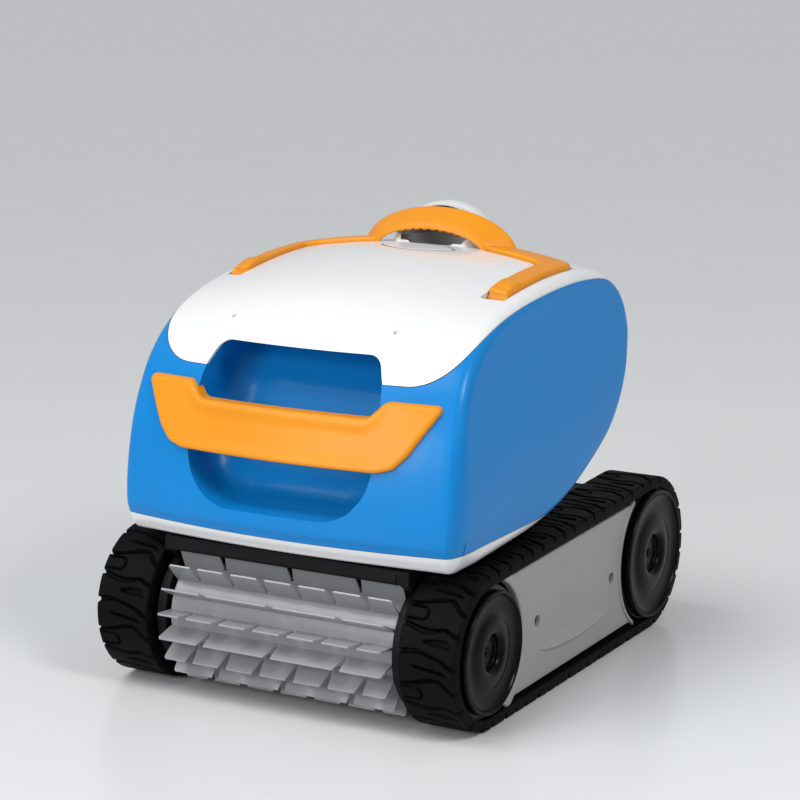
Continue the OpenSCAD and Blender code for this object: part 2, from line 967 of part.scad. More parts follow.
module side_plate() {
    difference() {
        yz(150, 156) plate_face();
        for (y = post_y) {
            rod_x(140, 160, y, post_z, 2.3);
            rod_x(153.4, 160, y, post_z, 4.8);
        }
        yz(155.2, 157)
            intersection() {
                translate([0, lens_z + lens_half_h - lens_r]) circle(r = lens_r, $fn = 360);
                translate([0, lens_z - lens_half_h + lens_r]) circle(r = lens_r, $fn = 360);
            }
    }
}

module side_plate_screws() {
    color([0.6, 0.61, 0.63]) placed() both()
        for (y = post_y) {
            rod_x(134, 153.5, y, post_z, 2.2);
            rod_x(153.5, 155.2, y, post_z, 4.4);
        }
}

// ---- brush ----
module brush_core() {
    color([0.55, 0.57, 0.6]) placed() union() {
        rod_x(-brush_half, brush_half, brush_y, brush_z, brush_core_r - 1.5);
        rod_x(-wall_in - 4, wall_in + 4, brush_y, brush_z, journal_r);
    }
}

module blade(wide) {
    spots = wide ? [-60, 0, 60] : [-75, -45, -15, 15, 45, 75];
    mouth = wide ? 4.5 : 4;
    translate([-brush_half, 0, 0])
        linear_extrude(blade_t, center = true)
            difference() {
                translate([0, brush_core_r - 1]) square([2 * brush_half, brush_r - brush_core_r + 1]);
                for (x = spots)
                    translate([x + brush_half, 0])
                        polygon([[-1.5, brush_core_r + 2.5], [1.5, brush_core_r + 2.5],
                                 [mouth, brush_r + 1], [-mouth, brush_r + 1]]);
            }
}

module brush_blades() {
    color([0.66, 0.67, 0.69]) placed() cast() translate([0, brush_y, brush_z]) {
        rotate([0, 90, 0]) difference() {
            cylinder(h = 2 * brush_half, r = brush_core_r, center = true);
            cylinder(h = 3 * brush_half, r = brush_core_r - 1.2, center = true);
        }
        for (k = [0:blade_rows - 1])
            rotate([4 + 360 * k / blade_rows, 0, 0]) rotate([90, 0, 0]) blade(k % 2 == 1);
    }
}

module side_plate_right() {
    color([0.66, 0.67, 0.69]) placed() side_plate();
}

module side_plate_left() {
    left() side_plate_right();
}

module track_right() {
    color([0.1, 0.1, 0.11]) placed() track();
}

module track_left() {
    left() track_right();
}

module wheel_front_right() {
    color([0.08, 0.08, 0.09]) placed() front_wheel();
}

module wheel_front_left() {
    left() wheel_front_right();
}

module wheel_rear_right() {
    color([0.08, 0.08, 0.09]) placed() rear_wheel();
}

module wheel_rear_left() {
    left() wheel_rear_right();
}

module wheel_cap_front_right() {
    color([0.06, 0.06, 0.07]) placed() wheel_cap(front_y, front_r, 47.2);
}

module wheel_cap_front_left() {
    left() wheel_cap_front_right();
}

module wheel_cap_rear_right() {
    color([0.06, 0.06, 0.07]) placed() wheel_cap(rear_y, rear_r, 54.4);
}

module wheel_cap_rear_left() {
    left() wheel_cap_rear_right();
}

module axle_front_right() {
    color([0.7, 0.71, 0.73]) placed() axle(front_y, front_r);
}

module axle_front_left() {
    left() axle_front_right();
}

module axle_rear_right() {
    color([0.7, 0.71, 0.73]) placed() axle(rear_y, rear_r);
}

module axle_rear_left() {
    left() axle_rear_right();
}

module drive_motor_right() {
    color([0.3, 0.31, 0.33]) placed() drive_motor();
}

module drive_motor_left() {
    left() drive_motor_right();
}

module drive_pinion_right() {
    color([0.85, 0.84, 0.78]) placed() drive_pinion();
}

module drive_pinion_left() {
    left() drive_pinion_right();
}

// ---- drawing ----
chassis();
bottom_plate();
body_tub();
front_side_shell();
lid();
front_handle();
carry_handle();
carry_handle_pins();
lid_hinge_pins();
badge_inlay();
outlet_hood();
outlet_grille();
duct_ring();
motor_housing();
motor_cap();
motor_cap_screws();
pump_motor();
cable_gland();
impeller_shaft();
impeller();
filter_frame();
filter_mesh();
suction_duct();
pedestal();
intake_flap_front();
intake_flap_rear();
flap_pins();
side_plate_left();
side_plate_right();
side_plate_screws();
track_left();
track_right();
wheel_front_left();
wheel_front_right();
wheel_rear_left();
wheel_rear_right();
wheel_cap_front_left();
wheel_cap_front_right();
wheel_cap_rear_left();
wheel_cap_rear_right();
axle_front_left();
axle_front_right();
axle_rear_left();
axle_rear_right();
axle_washers();
axle_screws();
drive_motor_left();
drive_motor_right();
drive_pinion_left();
drive_pinion_right();
brush_core();
brush_blades();
hull_screws();
front_handle_screws();
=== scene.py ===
"""Pool cleaner: detailed meshes, materials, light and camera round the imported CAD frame."""
import json
import math

import bmesh
import bpy
import numpy as np
from mathutils import Matrix, Vector
from mathutils.geometry import delaunay_2d_cdt


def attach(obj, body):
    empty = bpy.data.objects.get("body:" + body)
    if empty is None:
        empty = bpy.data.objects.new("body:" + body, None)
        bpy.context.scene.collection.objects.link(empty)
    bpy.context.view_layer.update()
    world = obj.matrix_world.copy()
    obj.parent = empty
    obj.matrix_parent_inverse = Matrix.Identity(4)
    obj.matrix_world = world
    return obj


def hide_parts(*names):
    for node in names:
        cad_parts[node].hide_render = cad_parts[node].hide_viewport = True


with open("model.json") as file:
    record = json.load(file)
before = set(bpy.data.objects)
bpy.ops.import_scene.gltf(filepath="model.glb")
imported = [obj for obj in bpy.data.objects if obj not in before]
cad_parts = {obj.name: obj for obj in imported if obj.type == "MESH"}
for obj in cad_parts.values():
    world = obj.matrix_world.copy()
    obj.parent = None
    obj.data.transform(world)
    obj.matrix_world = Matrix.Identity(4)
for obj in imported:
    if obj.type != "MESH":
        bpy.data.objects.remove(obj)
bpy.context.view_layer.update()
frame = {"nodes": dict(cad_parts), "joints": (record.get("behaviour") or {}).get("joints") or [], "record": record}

# ---- the frame, in millimetres ----
MM = 0.001
FAR = 400.0


def joint_spot(name):
    spot = next(j["pos_m"] for j in frame["joints"] if j["name"] == name)
    return [value / MM for value in spot]


HINGE_Y = 128.0
SHIFT = joint_spot("lid_hinge")[1] - HINGE_Y
HINGE = (HINGE_Y, joint_spot("lid_hinge")[2])
BAIL = (joint_spot("carry_handle_hinge")[1] - SHIFT, joint_spot("carry_handle_hinge")[2])
FRONT = (joint_spot("front_right_wheel_spin")[1] - SHIFT, joint_spot("front_right_wheel_spin")[2])
REAR = (joint_spot("rear_right_wheel_spin")[1] - SHIFT, joint_spot("rear_right_wheel_spin")[2])
BRUSH = (joint_spot("brush_spin")[1] - SHIFT, joint_spot("brush_spin")[2])
HOOD_Y = joint_spot("impeller_spin")[1] - SHIFT


# ---- materials ----
def node_group(mat):
    mat.use_nodes = True
    nodes = mat.node_tree.nodes
    return nodes, mat.node_tree.links, nodes["Principled BSDF"]


def plastic(name, color, rough, coat=0.0, grain=0.0, grain_mm=0.6, tone=0.03, metal=0.0, shine=0.5):
    """Moulded plastic, rubber or metal: slight colour drift, uneven gloss and a fine surface grain."""
    mat = bpy.data.materials.new(name)
    nodes, links, shader = node_group(mat)
    shader.inputs["Metallic"].default_value = metal
    shader.inputs["Coat Weight"].default_value = coat
    shader.inputs["Coat Roughness"].default_value = 0.04
    shader.inputs["Specular IOR Level"].default_value = shine
    place = nodes.new("ShaderNodeTexCoord")
    drift = nodes.new("ShaderNodeTexNoise")
    drift.inputs["Scale"].default_value = 14.0
    drift.inputs["Detail"].default_value = 3.0
    links.new(place.outputs["Object"], drift.inputs["Vector"])
    ramp = nodes.new("ShaderNodeValToRGB")
    low, high = ramp.color_ramp.elements
    low.position, high.position = 0.35, 0.65
    low.color = (*[c * (1 - tone) for c in color], 1)
    high.color = (*[min(1, c * (1 + tone)) for c in color], 1)
    links.new(drift.outputs["Fac"], ramp.inputs["Fac"])
    links.new(ramp.outputs["Color"], shader.inputs["Base Color"])
    gloss = nodes.new("ShaderNodeMapRange")
    gloss.inputs["To Min"].default_value = rough * 0.88
    gloss.inputs["To Max"].default_value = rough * 1.12
    links.new(drift.outputs["Fac"], gloss.inputs["Value"])
    links.new(gloss.outputs["Result"], shader.inputs["Roughness"])
    if grain:
        fine = nodes.new("ShaderNodeTexNoise")
        fine.inputs["Scale"].default_value = 1 / (grain_mm * MM)
        fine.inputs["Detail"].default_value = 4.0
        links.new(place.outputs["Object"], fine.inputs["Vector"])
        bump = nodes.new("ShaderNodeBump")
        bump.inputs["Strength"].default_value = grain
        bump.inputs["Distance"].default_value = 0.1 * MM
        links.new(fine.outputs["Fac"], bump.inputs["Height"])
        links.new(bump.outputs["Normal"], shader.inputs["Normal"])
    return mat


def woven(name, color):
    """Filter cloth: two crossed sets of threads."""
    mat = plastic(name, color, 0.8)
    nodes, links, shader = node_group(mat)
    place = nodes.new("ShaderNodeTexCoord")
    heights = []
    for direction in ("X", "Z"):
        wave = nodes.new("ShaderNodeTexWave")
        wave.bands_direction = direction
        wave.inputs["Scale"].default_value = 260.0
        links.new(place.outputs["Object"], wave.inputs["Vector"])
        heights.append(wave.outputs["Fac"])
    total = nodes.new("ShaderNodeMath")
    total.operation = "MAXIMUM"
    links.new(heights[0], total.inputs[0])
    links.new(heights[1], total.inputs[1])
    bump = nodes.new("ShaderNodeBump")
    bump.inputs["Distance"].default_value = 0.3 * MM
    links.new(total.outputs["Value"], bump.inputs["Height"])
    links.new(bump.outputs["Normal"], shader.inputs["Normal"])
    return mat


MATS = {
    "black_plastic": plastic("black_plastic", (0.005, 0.005, 0.006), 0.5, grain=0.25, shine=0.12),
    "white_gloss": plastic("white_gloss", (0.75, 0.755, 0.76), 0.24, coat=0.2, tone=0.01),
    "blue_gloss": plastic("blue_gloss", (0.003, 0.2, 0.55), 0.3, coat=0.04, tone=0.02, shine=0.2),
    "orange_plastic": plastic("orange_plastic", (0.76, 0.27, 0.005), 0.4, grain=0.08, shine=0.3),
    "grey_plastic": plastic("grey_plastic", (0.31, 0.31, 0.312), 0.42, grain=0.15, shine=0.35),
    "light_grey_plastic": plastic("light_grey_plastic", (0.62, 0.63, 0.64), 0.4, grain=0.1),
    "dark_grey_plastic": plastic("dark_grey_plastic", (0.02, 0.02, 0.022), 0.45, grain=0.2, shine=0.3),
    "black_gloss": plastic("black_gloss", (0.0015, 0.0015, 0.002), 0.3, coat=0.05, shine=0.08),
    "track_rubber": plastic("track_rubber", (0.0025, 0.0025, 0.003), 0.62, grain=0.3, grain_mm=0.8,
                            shine=0.07),
    "brush_pvc": plastic("brush_pvc", (0.3, 0.308, 0.32), 0.33, coat=0.15, grain=0.06),
    "stainless": plastic("stainless", (0.5, 0.5, 0.52), 0.3, grain=0.1, metal=1.0),
    # black_steel is near-black metal: on the plate screws its darkness is painted shade for the deep screw holes.
    "black_steel": plastic("black_steel", (0.02, 0.02, 0.022), 0.35, metal=1.0),
    "mesh_fabric": woven("mesh_fabric", (0.72, 0.73, 0.72)),
    "acetal": plastic("acetal", (0.72, 0.7, 0.64), 0.35, grain=0.08),
    # inlay_grey is near-black: on the badge inlay its darkness is painted shade, standing in for the shadow in the
    # badge groove.
    "inlay_grey": plastic("inlay_grey", (0.06, 0.062, 0.065), 0.35),
}


# ---- mesh helpers ----
def link(mesh, name):
    obj = bpy.data.objects.new(name, mesh)
    bpy.context.scene.collection.objects.link(obj)
    return obj


def raw(points, faces, name="work"):
    """A closed solid in millimetres, turned so that its faces point outwards."""
    mesh = bpy.data.meshes.new(name)
    mesh.from_pydata([tuple(map(float, p)) for p in points], [], [tuple(f) for f in faces])
    edit = bmesh.new()
    edit.from_mesh(mesh)
    if edit.calc_volume(signed=True) < 0:
        bmesh.ops.reverse_faces(edit, faces=edit.faces)
    edit.to_mesh(mesh)
    edit.free()
    return link(mesh, name)


def combine(target, tool, operation):
    size = len(target.data.polygons)
    mod = target.modifiers.new("cut", "BOOLEAN")
    mod.operation, mod.solver, mod.object = operation, "MANIFOLD", tool
    shaped = target.evaluated_get(bpy.context.evaluated_depsgraph_get())
    mesh = bpy.data.meshes.new_from_object(shaped)
    target.modifiers.clear()
    target.data = mesh
    bpy.data.objects.remove(tool)
    if not mesh.polygons:
        raise ValueError(f"{operation} left {target.name} empty (it had {size} faces)")
    return target


def cut(target, *tools):
    for tool in tools:
        combine(target, tool, "DIFFERENCE")
    return target


def join(target, *tools):
    for tool in tools:
        combine(target, tool, "UNION")
    return target


def keep(target, tool):
    return combine(target, tool, "INTERSECT")


def copy(obj):
    return link(obj.data.copy(), obj.name)


def moved(obj, x=0.0, y=0.0, z=0.0):
    obj.data.transform(Matrix.Translation((x, y, z)))
    return obj


def piece(obj, name, body, slot, stands_for=(), angle=32, bevel=0.0, weighted=True):
    """Turns a working solid into a finished piece: metres, shading, material, body and slot."""
    obj.name = obj.data.name = name
    obj.data.transform(Matrix.Scale(MM, 4) @ Matrix.Translation((0, SHIFT, 0)))
    edit = bmesh.new()
    edit.from_mesh(obj.data)
    bmesh.ops.remove_doubles(edit, verts=edit.verts, dist=0.002 * MM)
    for face in edit.faces:
        face.smooth = True
    for edge in edit.edges:
        edge.smooth = len(edge.link_faces) == 2 and edge.calc_face_angle(0) < math.radians(angle)
    edit.to_mesh(obj.data)
    edit.free()
    if bevel:
        mod = obj.modifiers.new("edges", "BEVEL")
        mod.width, mod.segments, mod.limit_method = bevel * MM, 2, "ANGLE"
        mod.angle_limit = math.radians(40)
    if weighted:
        mod = obj.modifiers.new("normals", "WEIGHTED_NORMAL")
        mod.keep_sharp = True
    obj.data.materials.clear()
    obj.data.materials.append(MATS[slot])
    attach(obj, body)
    if stands_for:
        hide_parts(*stands_for)
    return obj


PLANES = {"xy": lambda u, v, w: (u, v, w), "xz": lambda u, v, w: (u, w, v),
          "yz": lambda u, v, w: (w, u, v)}


def two_ends(n):
    """Faces between two like outlines of n points each, and over both ends."""
    faces = [list(range(n))[::-1], list(range(n, 2 * n))]
    return faces + [(i, (i + 1) % n, n + (i + 1) % n, n + i) for i in range(n)]


def prism(shape, low, high, plane):
    at = PLANES[plane]
    points = [at(u, v, low) for u, v in shape] + [at(u, v, high) for u, v in shape]
    return raw(points, two_ends(len(shape)))


def block(low, high):
    shape = [(low[0], low[1]), (high[0], low[1]), (high[0], high[1]), (low[0], high[1])]
    return prism(shape, low[2], high[2], "xy")


def circle(u, v, radius, steps=64):
    turn = [2 * math.pi * k / steps for k in range(steps)]
    return [(u + radius * math.cos(a), v + radius * math.sin(a)) for a in turn]


def rounded(shape, radius, steps=8):
    """The polygon with each corner rounded. radius is one number, or one for each corner."""
    n = len(shape)
    radii = radius if isinstance(radius, (list, tuple)) else [radius] * n
    out = []
    for i in range(n):
        a, b, c = (Vector(shape[(i + k) % n]) for k in (-1, 0, 1))
        u, v = (a - b).normalized(), (c - b).normalized()
        half = u.angle(v, 0) / 2
        if half > math.radians(89) or not radii[i]:
            out.append(tuple(b))
            continue
        reach = min(radii[i] / math.tan(half), 0.48 * (a - b).length, 0.48 * (c - b).length)
        r = reach * math.tan(half)
        middle = b + (u + v).normalized() * r / math.sin(half)
        start, end = b + u * reach - middle, b + v * reach - middle
        first = math.atan2(start.y, start.x)
        sweep = (math.atan2(end.y, end.x) - first + math.pi) % (2 * math.pi) - math.pi
        for k in range(steps + 1):
            t = first + sweep * k / steps
            out.append((middle.x + r * math.cos(t), middle.y + r * math.sin(t)))
    return out


def edge_distance(points, shape):
    """Distance from each point to the outline of shape."""
    a = np.array(shape, float)
    ab = np.roll(a, -1, axis=0) - a
    best = np.full(len(points), 1e9)
    length = np.maximum((ab ** 2).sum(1), 1e-12)
    for start, run, square in zip(a, ab, length):
        t = np.clip(((points - start) @ run) / square, 0, 1)
        best = np.minimum(best, np.linalg.norm(points - start - t[:, None] * run, axis=1))
    return best


def inside(points, shape):
    a = np.array(shape, float)
    hit = np.zeros(len(points), bool)
    x, y = points[:, 0], points[:, 1]
    for (x1, y1), (x2, y2) in zip(a, np.roll(a, -1, axis=0)):
        if y1 == y2:
            continue
        hit ^= ((y1 > y) != (y2 > y)) & (x < (x2 - x1) * (y - y1) / (y2 - y1) + x1)
    return hit


def resampled(shape, step):
    out = []
    for a, b in zip(shape, shape[1:] + shape[:1]):
        a, b = np.array(a, float), np.array(b, float)
        parts = max(1, int(math.ceil(np.linalg.norm(b - a) / step)))
        if np.linalg.norm(b - a) < 1e-6:
            continue
        out += [tuple(a + (b - a) * k / parts) for k in range(parts)]
    return out


def slab(shape, top, bottom, place, step=3.0, rows=(0.4, 1.0, 1.8, 2.8)):
    """A closed plate over a 2D shape. top and bottom give heights from (points, edge distance)."""
    loop = resampled(shape, step)
    ring = np.array(loop)
    run = np.roll(ring, -1, axis=0) - np.roll(ring, 1, axis=0)
    area = 0.5 * np.sum(ring[:, 0] * np.roll(ring[:, 1], -1) - np.roll(ring[:, 0], -1) * ring[:, 1])
    side = np.sign(area) / np.maximum(np.linalg.norm(run, axis=1), 1e-9)
    inward = np.stack([-run[:, 1] * side, run[:, 0] * side], 1)
    extra = []
    for row in rows:
        spots = ring + inward * row
        extra.append(spots[(edge_distance(spots, loop) > row * 0.93) & inside(spots, loop)])
    low, high = ring.min(0), ring.max(0)
    grid = np.stack(np.meshgrid(np.arange(low[0], high[0], step), np.arange(low[1], high[1], step)), -1)
    grid = grid.reshape(-1, 2)
    grid = grid[inside(grid, loop)]
    extra.append(grid[edge_distance(grid, loop) > max(rows, default=0) + 0.45 * step])
    cloud = [Vector(p) for p in loop] + [Vector(p) for p in np.concatenate(extra)]
    flat, _, faces, origin, _, _ = delaunay_2d_cdt(cloud, [], [list(range(len(loop)))], 1, 1e-5)
    flat_points = np.array([tuple(p) for p in flat])
    away = edge_distance(flat_points, loop)
    rim = {}
    for index, sources in enumerate(origin):
        for source in sources:
            rim[source] = index
    edge = [rim[i] for i in range(len(loop))]
    away[edge] = 0
    n = len(flat_points)
    points = [place(u, v, h) for (u, v), h in zip(flat_points, top(flat_points, away))]
    points += [place(u, v, h) for (u, v), h in zip(flat_points, bottom(flat_points, away))]
    skin = [tuple(f) for f in faces] + [tuple(n + i for i in reversed(f)) for f in faces]
    ccw = area > 0
    for a, b in zip(edge, edge[1:] + edge[:1]):
        if a != b:
            skin.append((a, n + a, n + b, b) if ccw else (b, n + b, n + a, a))
    return raw(points, skin)


def lathe(profile, centre, steps=96, axis="x"):
    """profile is (radius, place along the axis), from the axis out and back to it."""
    points, faces = [], []
    n = len(profile)
    for k in range(steps):
        t = 2 * math.pi * k / steps
        for radius, along in profile:
            u, v = radius * math.cos(t), radius * math.sin(t)
            points.append((along, centre[0] + u, centre[1] + v) if axis == "x"
                          else (centre[0] + u, centre[1] + v, along))
    for k in range(steps):
        for i in range(n):
            j, m = (i + 1) % n, (k + 1) % steps
            faces.append((k * n + i, k * n + j, m * n + j, m * n + i))
    obj = raw(points, faces)
    edit = bmesh.new()
    edit.from_mesh(obj.data)
    bmesh.ops.remove_doubles(edit, verts=edit.verts, dist=1e-4)
    bmesh.ops.dissolve_degenerate(edit, edges=edit.edges, dist=1e-4)
    if edit.calc_volume(signed=True) < 0:
        bmesh.ops.reverse_faces(edit, faces=edit.faces)
    edit.to_mesh(obj.data)
    edit.free()
    return obj


def curve_step(a, b, c, d, t):
    """Catmull-Rom point between b and c."""
    return 0.5 * (2 * b + (c - a) * t + (2 * a - 5 * b + 4 * c - d) * t * t
                  + (3 * b - a - 3 * c + d) * t ** 3)


def smooth_run(points, parts=6):
    """Curve through open 2D points."""
    p = [np.array(q, float) for q in points]
    p = [2 * p[0] - p[1]] + p + [2 * p[-1] - p[-2]]
    out = []
    for a, b, c, d in zip(p, p[1:], p[2:], p[3:]):
        out += [curve_step(a, b, c, d, k / parts) for k in range(parts)]
    return [tuple(q) for q in out] + [tuple(p[-2])]


def ease(low, high, value):
    t = np.clip((value - low) / (high - low), 0, 1)
    return t * t * (3 - 2 * t)


def round_over(away, radius):
    """How far a surface drops below its height near an edge rounded to this radius."""
    near = np.clip(radius - away, 0, radius)
    return radius - np.sqrt(np.maximum(radius ** 2 - near ** 2, 0))


# ---- body surface ----
SIDE = [(-161, 124), (-180.4, 124), (-187, 130), (-191, 139.2), (-193, 150), (-190, 179), (-184, 210),
        (-175, 235), (-164, 257), (-148, 275), (-126, 290), (-100, 300), (-66, 307), (-30, 311.5),
        (5, 314), (45, 314), (85, 309), (109, 297), (122, 282), (127.5, 262), (125, 245), (118, 224.5),
        (101, 200.5), (77, 179.5), (40, 160), (-4.5, 141.5), (-54, 131.5), (-111, 127)]
HALF = np.array([(124, -4), (138, -1), (150, 0), (180, -1), (200, -2), (225, -3.5), (247, -5),
                 (262, -6.5), (277, -8), (293, -10), (300, -11.5), (332, -13)], float)
HALF_MIDDLE = 220
HALF_FIT = np.polyfit(HALF[:, 0] - HALF_MIDDLE, HALF[:, 1], 4)
BODY_HALF = 147.0
CROWN = 16.0
CROWN_REACH = 142.0
WALL = 3.0
SKIRT_TOP = 138.4
EDGE_R = 8.0
SIDE_SWELL = 0.6


def closed_curve(points, parts):
    """Curve through 2D points that comes back to the first."""
    p = np.array(points, float)
    out = []
    for i in range(len(p)):
        a, b, c, d = (p[(i + k) % len(p)] for k in (-1, 0, 1, 2))
        out += [curve_step(a, b, c, d, k / parts) for k in range(parts)]
    return np.array(out)


OUTLINE = closed_curve(SIDE, 7)
RUN = np.roll(OUTLINE, -1, axis=0) - np.roll(OUTLINE, 1, axis=0)
OUTWARD = np.stack([-RUN[:, 1], RUN[:, 0]], 1) / np.linalg.norm(RUN, axis=1)[:, None]
CROWN_DIR = np.stack([np.where(OUTWARD[:, 0] < 0, OUTWARD[:, 0], OUTWARD[:, 0] / 2),
                      np.maximum(0, OUTWARD[:, 1])], 1)


def half_at(z):
    return BODY_HALF + np.polyval(HALF_FIT, z - HALF_MIDDLE)


def crown_at(x):
    return CROWN * np.maximum(0, 1 - (x / CROWN_REACH) ** 2)


def body(inset=0.0, across=44, turn=6, fan=14):
    """The closed body surface, moved in by inset: rings along X, rolled edges, domed side faces."""
    corner = 16.0 * ease(-150, -185, OUTLINE[:, 0]) * ease(245, 150, OUTLINE[:, 1])
    rolls = [(1 - math.cos(a), 1 - math.sin(a))
             for a in (math.pi / 2 * k / turn for k in range(turn))]
    rings = [(1.0, *roll) for roll in rolls]
    rings += [(1 - 2 * k / across, 1.0, 0.0) for k in range(across + 1)]
    rings += [(-1.0, *roll) for roll in reversed(rolls)]
    points = []
    for share, sideways, inwards in rings:
        base = OUTLINE - ((EDGE_R + corner) * inwards + inset)[:, None] * OUTWARD
        x = share * (half_at(base[:, 1]) - inset - EDGE_R * sideways)
        spot = base + crown_at(x)[:, None] * CROWN_DIR
        points.append(np.column_stack([x, spot]))
    middle = np.array([-30.0, 215.0])
    for sign, edge in ((1, points[0]), (-1, points[-1])):
        face = []
        for k in range(1, fan):
            t = k / fan
            flat = edge[:, 1:] * (1 - t) + middle * t
            swell = 1 - (1 - t) ** 2
            x = np.abs(edge[:, 0]) * (1 - swell) + (half_at(flat[:, 1]) + SIDE_SWELL - inset) * swell
            face.append(np.column_stack([sign * x, flat]))
        points = face[::-1] + points if sign > 0 else points + face
    n, m = len(points), len(OUTLINE)
    cloud = [tuple(p) for ring in points for p in ring]
    tip = half_at(middle[1]) + SIDE_SWELL - inset
    cloud += [(tip, *middle), (-tip, *middle)]
    faces = [(k * m + i, (k + 1) * m + i, (k + 1) * m + (i + 1) % m, k * m + (i + 1) % m)
             for k in range(n - 1) for i in range(m)]
    faces += [(n * m, i, (i + 1) % m) for i in range(m)]
    faces += [(n * m + 1, (n - 1) * m + (i + 1) % m, (n - 1) * m + i) for i in range(m)]
    return raw(cloud, faces, "body")


FACE_END = next(i for i in range(len(OUTLINE)) if OUTLINE[i, 1] >= 290)
FRONT_PART = OUTLINE[7:FACE_END + 20]
FRONT_DIR = CROWN_DIR[7:FACE_END + 20]
TOP_START = next(i for i in range(len(OUTLINE)) if OUTLINE[i, 1] >= 245)
TOP_END = max(i for i in range(len(OUTLINE)) if OUTLINE[i, 1] >= 290)
TOP_PART = OUTLINE[TOP_START:TOP_END]
TOP_DIR = CROWN_DIR[TOP_START:TOP_END]


def front_y(points):
    """Y of the front surface at each (x, z)."""
    out = np.empty(len(points))
    for i, (x, z) in enumerate(points):
        line = FRONT_PART + crown_at(x) * FRONT_DIR
        order = np.argsort(line[:, 1])
        out[i] = np.interp(z, line[order, 1], line[order, 0])
    return out


def top_z(points):
    """Z of the top surface at each (x, y)."""
    out = np.empty(len(points))
    for i, (x, y) in enumerate(points):
        line = TOP_PART + crown_at(x) * TOP_DIR
        order = np.argsort(line[:, 0])
        out[i] = np.interp(y, line[order, 0], line[order, 1])
    return out


# ---- zones that divide the body into its shells ----
LID_HALF, LID_REAR, LID_FRONT_Z, LID_CORNER = 135.0, 118.0, 258.0, 40.0
LID_GAP = 0.5
RECESS = [(-68, 276.5), (-77, 256), (-80, 235), (-81, 200), (-76, 179), (-62, 163), (-45, 156.5),
          (45, 156.5), (62, 163), (76, 179), (81, 200), (80, 235), (77, 256), (68, 276.5)]
RECESS_TURNS = [13, 40, 60, 60, 40, 30, 30, 30, 30, 40, 60, 60, 40, 13]
RECESS_FLOOR = np.array([(130, -168), (150, -164), (168, -157), (190, -151), (214, -144),
                         (239, -133.5), (259.3, -120.5), (272, -106), (290, -100)], float)


def grown(shape, amount):
    ring = np.array(shape, float)
    run = np.roll(ring, -1, axis=0) - np.roll(ring, 1, axis=0)
    area = np.sum(ring[:, 0] * np.roll(ring[:, 1], -1) - np.roll(ring[:, 0], -1) * ring[:, 1])
    out = np.stack([run[:, 1], -run[:, 0]], 1) * np.sign(area)
    return [tuple(p) for p in ring + amount * out / np.linalg.norm(out, axis=1)[:, None]]


def lid_zone(gap):
    plan = [(-LID_HALF + gap, -FAR), (LID_HALF - gap, -FAR), (LID_HALF - gap, FAR),
            (-LID_HALF + gap, FAR)]
    low = LID_FRONT_Z + gap
    profile = [(-FAR, low), (-146, low), (-100, 256.7), (LID_REAR - gap, 256.7),
               (LID_REAR - gap, FAR), (-FAR, FAR)]
    front = prism(rounded([(-LID_HALF + gap, low), (LID_HALF - gap, low), (LID_HALF - gap, FAR),
                           (-LID_HALF + gap, FAR)], [LID_CORNER, LID_CORNER, 0, 0], 24),
                  -FAR, -99.9, "xz")
    join(front, block((-FAR, -100, 0), (FAR, FAR, FAR)))
    return keep(keep(prism(plan, 0, FAR, "xy"), prism(profile, -FAR, FAR, "yz")), front)


def recess(grow):
    """The scooped pocket behind the front handle, open to the front."""
    shape = grown(resampled(rounded(RECESS, RECESS_TURNS, 10), 6), grow)
    turn = 24.0

    def floor(points, away):
        depth = np.interp(points[:, 1], RECESS_FLOOR[:, 0], RECESS_FLOOR[:, 1])
        return depth + grow - round_over(away, turn)

    def mouth(points, away):
        return np.full(len(points), -260.0)

    return slab(shape, mouth, floor, PLANES["xz"], step=4, rows=(1, 3, 6, 10, 15, 20))


def shell_zone(gap):
    low = SKIRT_TOP - gap
    face = prism([(-FAR, low), (-100 + gap, low), (-100 + gap, FAR), (-FAR, FAR)], -FAR, FAR, "yz")
    rim = [tuple(p) for p in OUTLINE - (3 - gap) * OUTWARD]
    for sign in (-1, 1):
        ends = sorted((sign * (131 - gap), sign * FAR))
        flank = prism(rim, *ends, "yz")
        upper = [(-FAR, low), (-100, low), (-60, 280), (70, 290), (100 + gap, 298),
                 (100 + gap, FAR), (-FAR, FAR)]
        join(flank, prism(upper, *ends, "yz"))
        keep(flank, prism([(-FAR, low), (FAR, low), (FAR, FAR), (-FAR, FAR)], *ends, "yz"))
        join(face, flank)
    return cut(face, lid_zone(-LID_GAP / 2))


ARM = [(106, -68), (124, -68), (124.6, 38), (122, 52), (58, 60.8), (45, 36), (98, 27), (106, 20)]
BAR = [(106, -68), (124, -68), (124.6, 38), (122, 52), (60, 60.8), (47, 36), (98, 27), (106, 20)]
PIVOT = [(106, -82), (124, -74), (124, -50), (106, -50)]
CHANNEL_WALL = 2.6
ARM_DEEP, PIVOT_DEEP = 5.0, 13.5
LOW_TOP = 250
HINGE_ARMS, HINGE_ARM_WIDE = (-61.6, 50.4), 11.2
HINGE_EARS, HINGE_EAR_WIDE = (-68, -50, 44, 62), 6
PIN_HOLE_R = 2.05
LID_VENTS, VENT_R = ((70.5, -146), (-70.5, -146), (100, 20), (-100, 20)), 1.8
BADGE_DEEP = 0.9
BADGE_Y, BADGE_R, BADGE_SET = 18, 46, 30


def flipped(shape):
    return [(-u, v) for u, v in reversed(shape)]


